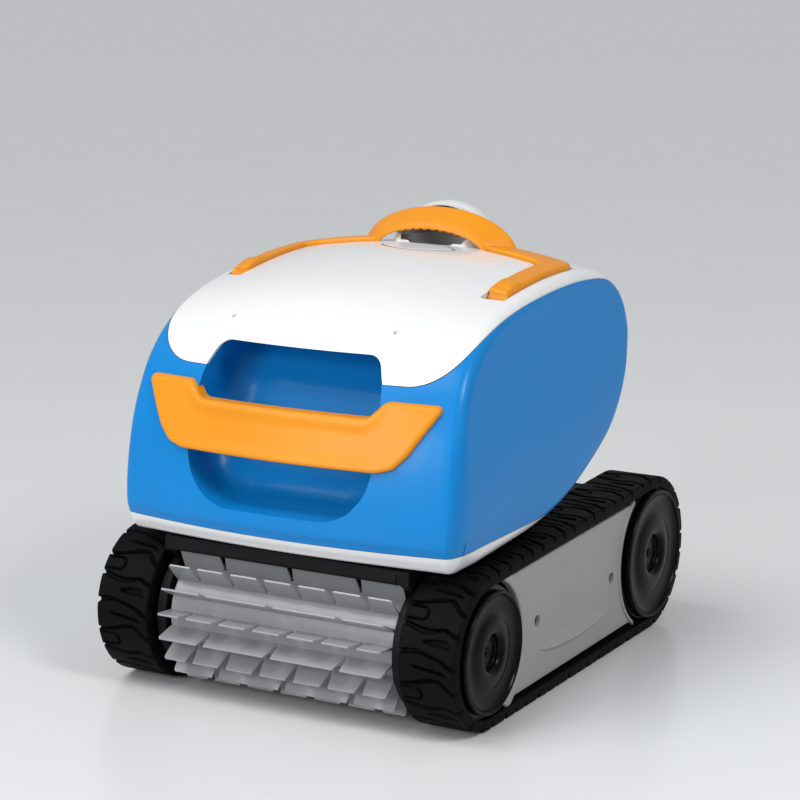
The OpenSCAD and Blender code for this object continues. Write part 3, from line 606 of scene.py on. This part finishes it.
def lid():
    top = body()
    hollow = body(WALL)
    obj = cut(copy(top), hollow)
    for shape, floor in ((ARM, 8.3), (PIVOT, 17.0)):
        for plan in (shape, flipped(shape)):
            wall = keep(prism(grown(resampled(plan, 5), CHANNEL_WALL), LOW_TOP, FAR, "xy"), copy(top))
            join(obj, cut(wall, moved(copy(top), z=-floor)))
    keep(obj, lid_zone(LID_GAP / 2))
    cut(obj, recess(0.6))
    for shape, floor, turn in ((ARM, ARM_DEEP, 5), (PIVOT, PIVOT_DEEP, 3)):
        for plan in (shape, flipped(shape)):
            cut(obj, cut(prism(rounded(plan, turn), LOW_TOP, FAR, "xy"), moved(copy(top), z=-floor)))
    for x in HINGE_ARMS:
        arm = rounded([(100, 306), (HINGE[0] - 1, HINGE[1] + 5), (HINGE[0] + 5, HINGE[1]),
                       (HINGE[0], HINGE[1] - 5), (104, 300)], 3)
        join(obj, prism(arm, x, x + HINGE_ARM_WIDE, "yz"))
    cut(obj, prism(circle(*HINGE, PIN_HOLE_R, 32), -FAR, FAR, "yz"))
    for ends in ((100, 130), (-130, -100)):
        cut(obj, prism(circle(*BAIL, 2.0, 32), *ends, "yz"))
    cut(obj, prism(circle(0, HOOD_Y, 38, 96), LOW_TOP, FAR, "xy"))
    for x, y in LID_VENTS:
        cut(obj, prism(circle(x, y, VENT_R, 24), LOW_TOP, FAR, "xy"))
    cut(obj, cut(prism(badge_plan(0), LOW_TOP, FAR, "xy"), moved(copy(top), z=-BADGE_DEEP)))
    bpy.data.objects.remove(top)
    piece(obj, "lid_shell", "lid", "white_gloss", ["lid"])


def badge_plan(grow):
    """A plain lens shape between two arcs."""
    wide = math.sqrt(BADGE_R ** 2 - BADGE_SET ** 2)
    start = math.atan2(BADGE_SET, wide)
    arc = [start + (math.pi - 2 * start) * k / 24 for k in range(25)]
    upper = [(BADGE_R * math.cos(t), BADGE_Y - BADGE_SET + BADGE_R * math.sin(t)) for t in arc]
    lower = [(-BADGE_R * math.cos(t), BADGE_Y + BADGE_SET - BADGE_R * math.sin(t)) for t in arc]
    return grown(upper[:-1] + lower[:-1], grow)


def badge():
    # The near-black inlay ring around the white face is painted shade: it stands in for the shadow in the badge
    # groove.
    obj = slab(badge_plan(-0.15), lambda p, d: top_z(p) - 0.05 - round_over(d, 0.4),
               lambda p, d: top_z(p) - 0.88, PLANES["xy"], step=2, rows=(0.3, 0.6))
    piece(obj, "badge_plain_inlay", "lid", "inlay_grey", ["badge_inlay"])
    face = slab(badge_plan(-2.0), lambda p, d: top_z(p) + 0.25 - round_over(d, 0.4),
                lambda p, d: top_z(p) - 0.4, PLANES["xy"], step=2, rows=(0.2, 0.4))
    piece(face, "badge_plain_face", "lid", "white_gloss")


def shell():
    outer = body()
    obj = keep(cut(copy(outer), body(WALL)), shell_zone(0))
    pocket = keep(recess(2.5), body(1.0))
    join(obj, keep(pocket, shell_zone(-0.6)))
    under = keep(recess(2.5), body(WALL + 0.6))
    join(obj, keep(under, block((-FAR, -FAR, 240), (FAR, FAR, FAR))))
    cut(obj, recess(0))
    bpy.data.objects.remove(outer)
    piece(obj, "front_side_panel", "chassis", "blue_gloss", ["front_side_shell"])


FILTER_NECK = ((-55.4, -75.4, 100), (55.4, -8.6, 200))
GLAND, GLAND_HOLE_R = (0, 232), 9.1


def tub():
    obj = cut(body(), body(WALL), lid_zone(-LID_GAP / 2), shell_zone(0.5))
    for x in HINGE_EARS:
        ear = rounded([(120, 280), (134, 284), (HINGE[0] + 5, HINGE[1] + 4),
                       (HINGE[0] - 4, HINGE[1] + 5), (121, 296)], 4)
        join(obj, prism(ear, x, x + HINGE_EAR_WIDE, "yz"))
    cut(obj, prism(circle(*HINGE, PIN_HOLE_R, 32), -FAR, FAR, "yz"))
    cut(obj, block(*FILTER_NECK))
    cut(obj, prism(circle(*GLAND, GLAND_HOLE_R, 48), 100, 160, "xz"))
    piece(obj, "hull_tub", "chassis", "white_gloss", ["body_tub"])


# ---- handles ----
GRIP = [(-84, 197), (84, 197), (97, 200.5), (107, 211), (129, 247), (84, 247.5), (72, 235),
        (-72, 235), (-84, 247.5), (-129, 247), (-107, 211), (-97, 200.5)]


def front_handle():
    shape = rounded(GRIP, [20, 20, 12, 24, 4, 8, 8, 8, 8, 4, 24, 12], 10)

    def face(points, away):
        scoop = 2.6 * ease(2.5, 13, away) * ease(118, 60, np.abs(points[:, 0]))
        return front_y(points) - 5.0 + round_over(away, 3.4) + scoop

    def back(points, away):
        seat = ease(86, 78, np.abs(points[:, 0]))
        return front_y(points) + 0.12 + 8.5 * seat - round_over(away, 3.0) * seat

    obj = slab(shape, face, back, PLANES["xz"], step=2.6,
               rows=(0.25, 0.7, 1.3, 2.1, 3.2, 4.6))
    piece(obj, "front_grip", "chassis", "orange_plastic", ["front_handle"], angle=50)


def strap():
    """The arch over the hood, with a rounded section and short ribs under its front edge."""
    steps = 120
    points, faces = [], []
    lower, upper = 3.0, 177.0
    for k in range(steps + 1):
        a = math.radians(lower + (upper - lower) * k / steps)
        notch = 0.9 if (k % 6) in (0, 1) and 20 < k < steps - 20 else 0.0
        outer_front = np.array([53 * math.cos(a), 36.4, 324 + 22 * math.sin(a)])
        outer_rear = np.array([72 * math.cos(a), 58.6, 321 + 38.4 * math.sin(a)])
        normal = np.array([-math.cos(a), 0, -math.sin(a)])
        ring = []
        for along, deep in ((0.02, 2.4), (0.0, 3.6), (0.03, 5.3 - notch), (0.09, 6.0 - notch),
                            (0.2, 6.0), (0.5, 6.2), (0.9, 6.0), (0.98, 4.8), (1.0, 3.2),
                            (0.98, 1.3), (0.93, 0.4), (0.8, 0.0), (0.5, -0.3), (0.2, 0.0),
                            (0.08, 0.5), (0.04, 1.2)):
            ring.append(outer_front * (1 - along) + outer_rear * along + normal * deep)
        points += ring
    n = 16
    for k in range(steps):
        faces += [(k * n + i, k * n + (i + 1) % n, (k + 1) * n + (i + 1) % n, (k + 1) * n + i)
                  for i in range(n)]
    faces += [tuple(range(n))[::-1], tuple(range(steps * n, (steps + 1) * n))]
    return raw(points, faces)


def carry_handle():
    obj = strap()
    for plan, sign in ((BAR, 1), (flipped(BAR), -1)):
        shape = grown(resampled(rounded(plan, [3, 3, 3, 10, 8, 6, 10, 6], 8), 5), -0.8)

        def above(points, away):
            bump = 1.6 * ease(-61, -56, points[:, 1]) * ease(-39, -45, points[:, 1])
            return top_z(points) + 4.0 - round_over(away, 2.6) + bump * ease(0, 3, away)

        def below(points, away):
            return top_z(points) - 4.4

        join(obj, slab(shape, above, below, PLANES["xy"], step=3,
                       rows=(0.3, 0.8, 1.5, 2.4)))
        ends = sorted((sign * 107, sign * 123))
        join(obj, prism(circle(*BAIL, 6, 48), *ends, "yz"))
        wide = sorted((sign * 100, sign * 130))
        cut(obj, prism(circle(*BAIL, PIN_HOLE_R, 32), *wide, "yz"))
    piece(obj, "carry_bail", "carry_handle", "orange_plastic", ["carry_handle"], angle=44)


# ---- outlet hood ----
HOOD_MOUTH = [(0, 329), (37, 329), (61.5, 351), (61.5, FAR), (0, FAR)]


def hood():
    radius, height, floor, wall = 46.0, 44.0, 318.0, 2.5
    arc = [math.pi / 2 * k / 22 for k in range(23)]
    dome = [(radius * math.cos(t), floor + height * math.sin(t)) for t in arc]
    inner = [((radius - wall) * math.cos(t), floor + (height - wall) * math.sin(t)) for t in arc]
    obj = lathe([(0, floor)] + dome, (0, HOOD_Y), axis="z")
    cut(obj, lathe([(0, floor - 5), (radius - wall, floor - 5)] + inner, (0, HOOD_Y), axis="z"))
    collar = lathe([(35.4, 312), (37.7, 312), (37.7, 327), (35.4, 327)], (0, HOOD_Y), axis="z")
    seat = lathe([(37, floor), (45.2, floor), (44, 327), (41.5, 331), (37, 331)], (0, HOOD_Y), axis="z")
    join(obj, seat, collar)
    cut(obj, prism(HOOD_MOUTH, -60, 60, "yz"))
    ground = cut(moved(body(), z=0.05), prism(circle(0, HOOD_Y, 37.9, 96), 300, 340, "xy"))
    cut(obj, ground)
    piece(obj, "outlet_cowl", "lid", "white_gloss", ["outlet_hood"], bevel=0.5)


# ---- running gear ----
DISC_FRONT, DISC_REAR = 47.2, 54.4


def screw_bar(centre, half_long, half_wide, degrees):
    """Outline of one arm of a screw's slot."""
    c, s = math.cos(math.radians(degrees)), math.sin(math.radians(degrees))
    return [(centre[0] + half_long * c * a - half_wide * s * b,
             centre[1] + half_long * s * a + half_wide * c * b)
            for a, b in ((-1, -1), (1, -1), (1, 1), (-1, 1))]


def disc(name, centre, radius, body_name, node, sign):
    k = radius / DISC_FRONT
    face = smooth_run([(12.6 * k, 154.0), (13.6 * k, 156.8), (16.5 * k, 159.3), (21 * k, 159.5),
                       (26 * k, 158.4), (30 * k, 157.0), (34 * k, 156.6), (39 * k, 157.2),
                       (42.5 * k, 158.7)], 6)
    rim = smooth_run([(radius - 3.6, 158.2), (radius - 2.4, 159.8), (radius - 1.0, 159.9),
                      (radius - 0.2, 158.8), (radius, 157)], 5)
    profile = [(0, 153.6), (12.2 * k, 153.6)] + face + rim + [(radius, 153.05), (0, 153.05)]
    obj = lathe([(r, sign * x) for r, x in profile], centre, steps=128)
    head = smooth_run([(0, 155.0), (2, 154.95), (3.2, 154.6), (3.7, 154.0)], 4)
    boss = lathe([(r, sign * x) for r, x in head + [(3.7, 153.3), (0, 153.3)]], centre, steps=48)
    for degrees in (0, 60, 120):
        cut(boss, prism(screw_bar(centre, 2.2, 0.35, degrees), *sorted((sign * 154.5, sign * 158)), "yz"))
    join(obj, boss)
    piece(obj, name, body_name, "black_gloss", [node])


LUG = 6
BELT = 3.2


def belt_path():
    run_front, run_rear = FRONT[1] - LUG, REAR[1] - LUG
    base = REAR[0] - FRONT[0]
    lean = 2 * math.asin((REAR[1] - FRONT[1]) / base)
    arc_front, arc_rear = run_front * (math.pi - lean), run_rear * (math.pi + lean)
    total = 2 * base + arc_front + arc_rear
    up = math.pi / 2 + lean

    def at(s, h):
        s = np.mod(s, total)
        y, z = np.empty(len(s)), np.empty(len(s))
        a = s < base
        y[a], z[a] = REAR[0] - s[a], LUG - h[a]
        b = (s >= base) & (s < base + arc_front)
        t = -math.pi / 2 - (s[b] - base) / arc_front * (math.pi - lean)
        y[b], z[b] = FRONT[0] + (run_front + h[b]) * np.cos(t), FRONT[1] + (run_front + h[b]) * np.sin(t)
        c = (s >= base + arc_front) & (s < 2 * base + arc_front)
        t = (s[c] - base - arc_front) / base
        reach = run_front * (1 - t) + run_rear * t + h[c]
        y[c] = FRONT[0] * (1 - t) + REAR[0] * t + reach * math.cos(up)
        z[c] = FRONT[1] * (1 - t) + REAR[1] * t + reach * math.sin(up)
        d = s >= 2 * base + arc_front
        t = up - (s[d] - 2 * base - arc_front) / arc_rear * (math.pi + lean)
        y[d], z[d] = REAR[0] + (run_rear + h[d]) * np.cos(t), REAR[1] + (run_rear + h[d]) * np.sin(t)
        return y, z

    return at, total


TREAD_REPEATS = 17
TREAD_WIDE = 47.0


def tread_height(s, v, repeat):
    """Height over the belt: bars parted by wavy grooves, with teardrop slots and U-shaped loops."""
    def groove(offset, half, soft=0.55):
        return 1 - ease(half - soft, half + soft, np.abs(offset))

    def wrap(value):
        return (value + repeat / 2) % repeat - repeat / 2

    deep = np.zeros_like(s)
    for k, phase in enumerate((0.0, 2.1, 4.2)):
        wave = 2.2 * np.sin(2 * math.pi * v / 52 + phase) - 6.0 * ease(33, 47, v)
        offset = wrap(s - k * repeat / 3 - wave)
        half = 1.0 + 0.7 * np.cos(math.pi * v / 47 + phase) ** 2
        deep = np.maximum(deep, groove(offset, half))
    slot = wrap(s - repeat / 6 + 3.0 * ease(35, 47, v))
    drop = 2.3 * ease(14, 31, v) * ease(44, 38, v)
    deep = np.maximum(deep, groove(slot, drop) * ease(0.3, 1.0, drop))
    loop_at = np.stack([wrap(s - repeat / 2), np.maximum(v - 14, 0)])
    loop = np.hypot(loop_at[0], loop_at[1]) - 4.6
    deep = np.maximum(deep, 0.6 * groove(loop, 0.7, 0.45) * ease(1.5, 3.0, v))
    branch = wrap(s - 5 * repeat / 6 + 0.12 * (v - 24) + 3.0 * ease(35, 47, v))
    deep = np.maximum(deep, groove(branch, 0.9) * ease(10, 16, v) * ease(42, 36, v))
    edge = np.minimum(v, TREAD_WIDE - v)
    return 5.95 - 4.3 * deep - round_over(np.clip(edge, 0, None), 1.8)


def track(name, inner, node):
    at, total = belt_path()
    along = 1190
    cross = np.concatenate([[0, 0.35, 0.8, 1.4], np.linspace(2.0, TREAD_WIDE - 2.0, 54),
                            TREAD_WIDE - np.array([1.4, 0.8, 0.35, 0])])
    s = np.arange(along) * total / along
    points = []
    for v in cross:
        h = tread_height(s, np.full(along, v), total / TREAD_REPEATS)
        y, z = at(s, h)
        points += list(zip(np.full(along, inner + v), y, z))
    for v in (TREAD_WIDE, TREAD_WIDE - 0.01, 0.01, 0.0):
        y, z = at(s, np.full(along, -BELT))
        points += list(zip(np.full(along, inner + v), y, z))
    rows = len(cross) + 4
    faces = []
    for r in range(rows):
        q = (r + 1) % rows
        for i in range(along):
            j = (i + 1) % along
            faces.append((r * along + i, r * along + j, q * along + j, q * along + i))
    piece(raw(points, faces), name, "chassis", "track_rubber", [node], angle=40, weighted=False)


PLATE_OUT, PLATE_ROOT, PLATE_BACK = 153.6, 152.0, 150.05
ARC_FRONT, ARC_REAR = 54.3, 59.8
SCREW_SPOTS, SCREW_HOLE_R = ((-68, 62), (71, 62)), 4.6
LENS_Z, LENS_R, LENS_DROP = 37.5, 370.0, 364.25


def lens_half(y):
    """Half the height of the long lens at each y."""
    return np.sqrt(LENS_R ** 2 - y ** 2) - LENS_DROP


def side_plate(sign, name, node):
    """Grey panel between the wheels: raised rim at the front arc, lens emboss, screw recesses."""
    def arc(centre, radius, start, stop, steps=24):
        return [(centre[0] + radius * math.cos(math.radians(start + (stop - start) * k / steps)),
                 centre[1] + radius * math.sin(math.radians(start + (stop - start) * k / steps)))
                for k in range(steps + 1)]

    front_low = math.degrees(math.asin((12.3 - FRONT[1]) / ARC_FRONT))
    front_high = math.degrees(math.asin((107.6 - FRONT[1] + 2.2) / ARC_FRONT))
    rear_low = 180 - math.degrees(math.asin((14 - REAR[1]) / ARC_REAR))
    rear_high = 180 - math.degrees(math.asin((115 - REAR[1]) / ARC_REAR))
    shape = arc(FRONT, ARC_FRONT, front_high, front_low) + arc(REAR, ARC_REAR, rear_low, rear_high)

    def out(points, away):
        return np.full(len(points), sign * PLATE_OUT) - sign * round_over(away, 1.2)

    def back(points, away):
        return np.full(len(points), sign * PLATE_BACK)

    place = PLANES["yz"]
    obj = slab(shape, out, back, place, step=3, rows=(0.3, 0.7, 1.3))
    # raised rims along both wheel arcs
    front_rim = arc(FRONT, ARC_FRONT, front_high, front_low)
    front_rim += arc(FRONT, 63.0, front_low + 1.5, front_high - 5)
    rear_rim = arc(REAR, ARC_REAR, rear_low, rear_high)
    rear_rim += arc(REAR, 63.6, rear_high - 2, rear_low + 3)
    for rim, rise in ((front_rim, 2.4), (rear_rim, 1.6)):
        ridge = slab(rim, lambda p, d, r=rise: sign * (PLATE_OUT + r - round_over(d, 2.0)),
                     lambda p, d: np.full(len(p), sign * PLATE_ROOT), place, step=2.5, rows=(0.25, 0.6, 1.0))
        join(obj, ridge)
    # long lens that stands out most along its lower edge
    spots = np.linspace(-64.5, 64.5, 44)
    rise = lens_half(spots)
    lens = [(y, LENS_Z - r) for y, r in zip(spots, rise)]
    lens += [(y, LENS_Z + r) for y, r in zip(spots[::-1], rise[::-1])]

    def lens_top(points, away):
        half = np.maximum(lens_half(points[:, 0]), 0.25)
        share = np.clip((LENS_Z + half - points[:, 1]) / (2 * half), 0, 1)
        return sign * (153.62 + 2.5 * share * np.minimum(1, half / 3.0))

    join(obj, slab(lens, lens_top, lambda p, d: np.full(len(p), sign * PLATE_ROOT), place, step=2.5,
                   rows=(0.4,)))
    for spot in SCREW_SPOTS:
        cut(obj, prism(circle(*spot, SCREW_HOLE_R, 48), *sorted((sign * 149, sign * 160)), "yz"))
    piece(obj, name, "chassis", "grey_plastic", [node], angle=34, weighted=False)


def plate_screws():
    """Small dark heads and dark discs at the bottom of the plate recesses; their near-black colour is painted
    shade for the deep screw holes.
    """
    heads = []
    for sign in (-1, 1):
        for spot in SCREW_SPOTS:
            dome = smooth_run([(0, 151.7), (1.6, 151.6), (2.6, 151.2), (3.0, 150.7)], 4)
            head = lathe([(r, sign * x) for r, x in dome + [(3.0, 150.3), (0, 150.3)]], spot, steps=40)
            # A dark disc over each hole floor: painted shade for the deep screw hole.
            join(head, prism(circle(*spot, 4.55, 48), *sorted((sign * 150.1, sign * 150.6)), "yz"))
            for degrees in (0, 90):
                bar = screw_bar(spot, 1.6, 0.3, degrees)
                cut(head, prism(bar, *sorted((sign * 151.1, sign * 154)), "yz"))
            heads.append(head)
    join(*heads)
    piece(heads[0], "plate_screw_heads", "chassis", "black_steel", ["side_plate_screws"])


# ---- brush ----
def brush():
    half, core, tip, thick = 98.0, 37.0, 57.0, 2.0
    blades, first_turn = 18, 4
    parts = []
    for k in range(blades):
        narrow = k % 2 == 0
        spots = (-75, -45, -15, 15, 45, 75) if narrow else (-60, 0, 60)
        mouth = 3.6 if narrow else 3.2
        root = 1.5
        shape = [(-half, core - 0.7), (half, core - 0.7), (half, tip - 1.5), (half - 1.5, tip)]
        for x in reversed(spots):
            shape += [(x + mouth, tip), (x + 0.9, core + 5)]
            shape += [(x + root * math.cos(t), core + 3.6 + root * math.sin(t))
                      for t in np.linspace(math.radians(55), math.radians(-235), 11)]
            shape += [(x - 0.9, core + 5), (x - mouth, tip)]
        shape += [(-half + 1.5, tip), (-half, tip - 1.5)]
        turn = math.radians(first_turn + 360 / blades * k)
        at = Matrix.Translation((0, *BRUSH)) @ Matrix.Rotation(turn, 4, "X")
        near = []
        for side in (-1, 1):
            for x, r in shape:
                w = thick / 2 * (1.1 - 0.35 * (r - core) / (tip - core))
                near.append(tuple(at @ Vector((x, side * w, r))))
        parts.append(raw(near, two_ends(len(shape))))
    sleeve = lathe([(core - 1.2, -half), (core - 0.4, -half), (core, -half + 0.5), (core, half - 0.5),
                    (core - 0.4, half), (core - 1.2, half)], BRUSH, steps=144)
    join(sleeve, *parts)
    piece(sleeve, "brush_fins", "brush", "brush_pvc", ["brush_blades"], angle=34, bevel=0.28)


def front_lip():
    """Rounded black bar over the brush, let into the chassis."""
    bar = rounded([(-191.5, 113), (-186, 111.8), (-178, 112), (-178, 122.6), (-190, 122.6)], 2.2)
    piece(prism(bar, -97, 97, "yz"), "front_lip_bar", "chassis", "black_plastic", angle=30, bevel=0.8)


# ---- CAD nodes that stay ----
SOFT_EDGE = 0.25


def dress_nodes():
    for sub in frame["record"]["subparts"]:
        obj = frame["nodes"][sub["node"]]
        obj.data.materials.clear()
        obj.data.materials.append(MATS[sub["material_slot"]])
        for face in obj.data.polygons:
            face.use_smooth = False
        mod = obj.modifiers.new("soft_edges", "BEVEL")
        mod.width, mod.segments, mod.limit_method = SOFT_EDGE * MM, 2, "ANGLE"
        mod.angle_limit = math.radians(50)


# ---- studio ----
FLOOR_HALF = 60
CAMERA_SPOT = (0.94684, -1.73322 + SHIFT * MM, 0.62049)
CAMERA_ANGLES = (28.79, 11.83, 0.42)
LENS_MM, SENSOR_MM = 112.11, 36.0


def area(name, place, target, size, power):
    data = bpy.data.lights.new(name, "AREA")
    data.energy, data.size = power, size
    obj = bpy.data.objects.new(name, data)
    bpy.context.scene.collection.objects.link(obj)
    obj.location = place
    obj.rotation_euler = (Vector(target) - Vector(place)).to_track_quat("-Z", "Y").to_euler()


def studio():
    mesh = bpy.data.meshes.new("studio_floor")
    far = FLOOR_HALF
    mesh.from_pydata([(-far, -far, 0), (far, -far, 0), (far, far, 0), (-far, far, 0)], [], [(0, 1, 2, 3)])
    floor = link(mesh, "studio_floor")
    floor.data.materials.append(plastic("floor_paint", (0.74, 0.745, 0.75), 0.22, tone=0.0, shine=0.35))
    world = bpy.data.worlds.new("studio")
    world.use_nodes = True
    world.node_tree.nodes["Background"].inputs["Color"].default_value = (0.94, 0.97, 1.0, 1)
    world.node_tree.nodes["Background"].inputs["Strength"].default_value = 0.45
    bpy.context.scene.world = world
    sun = bpy.data.lights.new("sun", "SUN")
    sun.energy, sun.angle = 1.35, math.radians(35)
    obj = bpy.data.objects.new("sun", sun)
    bpy.context.scene.collection.objects.link(obj)
    obj.rotation_euler = Vector((0.45, 0.55, -1.0)).to_track_quat("-Z", "Y").to_euler()
    area("fill", (1.5, -0.7, 1.7), (0, 0, 0.12), 0.6, 17)
    area("front", (-0.5, -2.2, 0.9), (0, 0, 0.15), 0.8, 19)
    bpy.context.scene.view_settings.view_transform = "Standard"


def camera():
    data = bpy.data.cameras.new("camera")
    data.lens, data.sensor_width = LENS_MM, SENSOR_MM
    obj = bpy.data.objects.new("camera", data)
    bpy.context.scene.collection.objects.link(obj)
    az, el, roll = (math.radians(v) for v in CAMERA_ANGLES)
    back = Vector((math.sin(az) * math.cos(el), -math.cos(az) * math.cos(el), math.sin(el)))
    right = Vector((math.cos(az), math.sin(az), 0))
    up = back.cross(right)
    right, up = (right * math.cos(roll) + up * math.sin(roll),
                 up * math.cos(roll) - right * math.sin(roll))
    turn = Matrix((right, up, back)).transposed().to_4x4()
    obj.matrix_world = Matrix.Translation(CAMERA_SPOT) @ turn
    bpy.context.scene.camera = obj


dress_nodes()
lid()
badge()
shell()
tub()
front_handle()
carry_handle()
hood()
disc("disc_front_right", FRONT, DISC_FRONT, "front_right_wheel", "wheel_cap_front_right", 1)
disc("disc_front_left", FRONT, DISC_FRONT, "front_left_wheel", "wheel_cap_front_left", -1)
disc("disc_rear_right", REAR, DISC_REAR, "rear_right_wheel", "wheel_cap_rear_right", 1)
disc("disc_rear_left", REAR, DISC_REAR, "rear_left_wheel", "wheel_cap_rear_left", -1)
track("tread_right", 110.0, "track_right")
track("tread_left", -157.0, "track_left")
side_plate(1, "side_panel_right", "side_plate_right")
side_plate(-1, "side_panel_left", "side_plate_left")
plate_screws()
brush()
front_lip()
studio()
camera()
